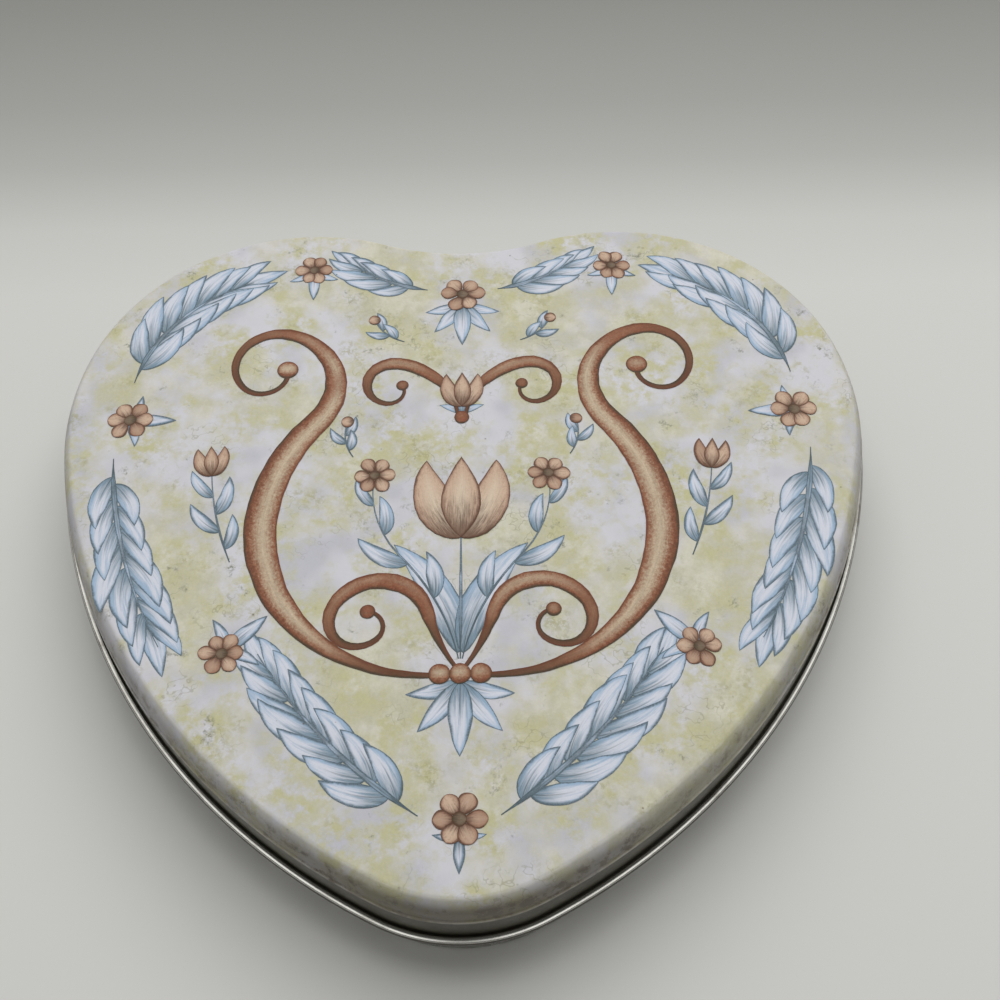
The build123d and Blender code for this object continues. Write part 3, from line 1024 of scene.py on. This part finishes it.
# %% Draw the garland
FRONDS = [
    ((58.3, 28.5), 98, [(29.5, 62)], 7, 12.5),
    ((6.5, 49.5), 10, [(30.0, 30)], 4, 9.0),
    ((59.5, 12.0), -97, [(92.0, -24)], 7, 12.0),
    ((6.0, -52.0), 34, [(88.0, 24)], 7, 12.0),
]
SIDE_FAN_LEVEL, MIDDLE_FAN_LEVEL = 18, 0
SIDE_FANS = [
    ((57.8, 20.0), 180, 60, 3, 8.0),
    ((36.5, -25.0), 135, 55, 3, 8.5),
    ((28.0, 54.5), -92, 50, 3, 7.0),
]
MIDDLE_FANS = [
    ((0.0, -31.0), -90, 62, 5, 12.0),
    ((0.0, 46.0), -90, 58, 5, 10.0),
    ((0.0, -55.0), -90, 78, 3, 5.5),
    ((0.0, 20.5), 90, 50, 3, 6.0),
]
SPRAY = ((0.3, -27.0), 78, [(40.0, -30), (20.0, 50)])
SPRAY_LEAVES = [(0.3, 1, 9.0, 4), (0.5, -1, 10.0, 4), (0.68, 1, 8.0, 4), (0.84, -1, 6.5, 4)]
TWIG = ((37.5, -9.0), 66, [(60.0, 17)])
TWIG_LEAVES = [(0.15, 1, 7.0, 4), (0.35, -1, 8.0, 4), (0.55, 1, 8.0, 4), (0.75, -1, 7.0, 4)]
SPRIGS = [((10.5, 37.0), 18, [(9.0, 50)]), ((18.5, 11.5), 55, [(9.0, 50)])]
SPRIG_LEAVES = [(0.2, 1, 4.6, 10), (0.4, -1, 4.6, 11), (0.62, 1, 4.6, 9)]
for side in SIDES:
    for one_frond in FRONDS:
        frond(*one_frond, side)
    for one_fan in SIDE_FANS:
        fan(*one_fan, SIDE_FAN_LEVEL, side)
    leafed(stem(*SPRAY, 6, side), SPRAY_LEAVES, 42, 45, side)
    leaflet((0.4, -26.0), 84, 23.0, -44, 2 + side, side, 0.12)
    leafed(stem(*TWIG, 6, side), TWIG_LEAVES, 46, 40, side)
    for sprig in SPRIGS:
        leafed(stem(*sprig, 12, side, 0.16), SPRIG_LEAVES, 48, 45, side, 0.19)
for one_fan in MIDDLE_FANS:
    fan(*one_fan, MIDDLE_FAN_LEVEL, 1)
stem((0.0, -27.0), 90, [(26.0, 0)], 8, 1, 0.3)
ink_piece(leaves, "print_fronds", leaf_finish)

# %% [markdown]
# Rosettes and tulips fill the places where fronds meet, and berries end the small sprigs.
# Each petal is one stroke, so a flower needs no outline of its own.

# %% Draw the flowers
SIDE_ROSETTES = [((57.8, 20.2), 3.9), ((37.0, -25.5), 3.4), ((28.0, 55.0), 3.4)]
petals = new_ink()


def rosette(place, radius, side):
    """Six round petals about a dark eye."""
    for petal in range(6):
        course = petal * 60 + hand.uniform(-6, 6)
        start = Vector((place[0], place[1], 0)) + ahead_of(course, radius * 0.12)
        size = radius * hand.uniform(0.86, 1.0)
        shape = leafy(radius * 0.38, 1.5, 0.55)
        stroke(petals, bowed(start, course, size, 0), shape, PETAL_LEVEL + petal, side)
    dab(petals, place, radius * 0.28, PETAL_LEVEL + 9, side, tint=0.0)


def tulip(place, heading, size, side, level=PETAL_LEVEL):
    """Two bowed petals with a straight one between them."""
    for way in (1, -1):
        petal = bowed(place, heading + way * 46, size, -way * 50)
        stroke(petals, petal, leafy(size * 0.2, 0.8, 0.8), level, side)
        level += 1
    stroke(petals, bowed(place, heading, size * 0.95, 0), leafy(size * 0.2, 0.85), level, side)


for side in SIDES:
    for place, radius in SIDE_ROSETTES:
        rosette(place, radius, side)
    rosette(spine(*SPRAY)[0](1.0)[0], 3.4, side)
    tulip(*spine(*TWIG)[0](1.0), 6.5, side)
    for sprig in SPRIGS:
        dab(petals, spine(*sprig)[0](1.0)[0], 1.1, PETAL_LEVEL, side)
rosette((0.0, 48.3), 3.9, 1)
rosette((0.0, -52.5), 3.9, 1)
tulip((0.0, -5.0), 90, 17.0, 1, PETAL_LEVEL + 3)
tulip((0.0, 22.0), 90, 8.0, 1)
ink_piece(petals, "print_buds", petal_finish)

# %% [markdown]
# The tin lies on a pale sheet that falls into shade towards the back. The shade is painted
# into its colour, so that it costs the tin no light. The sheet is only a stage.

# %% Lay the pale sheet
FLOOR_TONES = ((0.0, 203), (0.07, 199), (0.09, 190), (0.11, 167), (0.13, 152), (0.17, 132), (0.3, 128))
FLOOR_WARMTH, FLOOR_SIZE = 4, 6.0
floor_finish, shader, point = new_finish("pale_sheet")
shade = add("ValToRGB", {0: add("SeparateXYZ", {0: point})["Y"]})[0]
stops = shade.node.color_ramp.elements
for spot, (far, level) in enumerate(FLOOR_TONES):
    stop = stops[spot] if spot < 2 else stops.new(far)
    stop.position = far
    stop.color = tone(level, level, level - FLOOR_WARMTH)
wire(shader, {"Base Color": shade, "Roughness": 0.6, "Specular IOR Level": 0.2})
mesh = bmesh.new()
bmesh.ops.create_grid(mesh, x_segments=2, y_segments=2, size=FLOOR_SIZE / 2)
floor = shown(mesh, "floor", [floor_finish])

# %% [markdown]
# The world is a plain room with two jobs. What looks straight at it, or reflects it, sees
# it pale behind the tin, and in front dim, with a low window that is brighter at each side.
# As light it is only a fill, stronger from behind and above than from the front, so that
# the near side of the tin stays dark.

# %% Build the room
FRONT_FILL, BACK_FILL, FILL_STEP = 0.02, 0.56, (-0.5, 0.9)
FILL_FROM_ABOVE, FILL_FROM_BEHIND = 0.65, 0.75
ROOM_LOW, ROOM_HIGH, ROOM_STEP = tone(176, 176, 172), tone(250, 250, 246), (0.2, 1.0)
ROOM_FRONT, FRONT_STEP, FRONT_FOOT = tone(88, 88, 85), (0.25, 0.6), (0.05, 0.2)
WINDOW, WINDOW_BAND, WINDOW_SIDES = (1.4, 1.4, 1.36, 1.0), (0.4, 0.75, 0.12), (-0.2, 0.4)
world = bpy.data.worlds.new("world")
bpy.context.scene.world = world
world.use_nodes = True
tree = world.node_tree
look = add("SeparateXYZ", {0: add("TexCoord", {}, tree)["Generated"]})
lean = scaled(look["Z"], FILL_FROM_ABOVE, times(look["Y"], FILL_FROM_BEHIND))
fill = scaled(rising(lean, *FILL_STEP), BACK_FILL - FRONT_FILL, FRONT_FILL)
fill = add("CombineColor", {0: fill, 1: fill, 2: fill})[0]
room = mixed(rising(look["Z"], *ROOM_STEP), ROOM_LOW, ROOM_HIGH)
at_sides = rising(sum_of("ABSOLUTE", look["X"]), *WINDOW_SIDES)
front_room = laid(ROOM_FRONT, WINDOW, 1.0, between(look["Z"], *WINDOW_BAND), at_sides)
front_room = mixed(rising(look["Z"], *FRONT_FOOT), ROOM_LOW, front_room)
room = mixed(falling(look["Y"], *FRONT_STEP), room, front_room)
rays = add("LightPath", {}, tree)
seen = sum_of("MAXIMUM", rays["Is Camera Ray"], rays["Is Glossy Ray"])
seen = sum_of("MAXIMUM", seen, rays["Is Transmission Ray"])
wire(tree.nodes["Background"], {"Color": mixed(seen, fill, room)})
bpy.context.scene.view_settings.view_transform = "Standard"
print("room has", len(tree.nodes), "nodes")

# %% [markdown]
# Most of the light comes from one wide soft lamp above and behind the tin, which throws a
# short shadow towards the viewer, as in the photograph. With the room's fill it lights a
# level surface at a strength of about one, so that a colour renders as it is written.

# %% Hang the lamp
LAMP_PLACE, LAMP_SIZE, LAMP_POWER = Vector((0.07, 0.3, 0.72)), 0.85, 5.7
lamp_data = bpy.data.lights.new("window", "AREA")
lamp_data.size = LAMP_SIZE
lamp_data.energy = LAMP_POWER
lamp = bpy.data.objects.new("window", lamp_data)
lamp.visible_glossy = False
bpy.context.scene.collection.objects.link(lamp)
aim = (-LAMP_PLACE).to_track_quat("-Z", "Y")
lamp.matrix_world = Matrix.Translation(LAMP_PLACE) @ aim.to_matrix().to_4x4()
print("lamp", round(LAMP_PLACE.length, 2), "m from the tin")
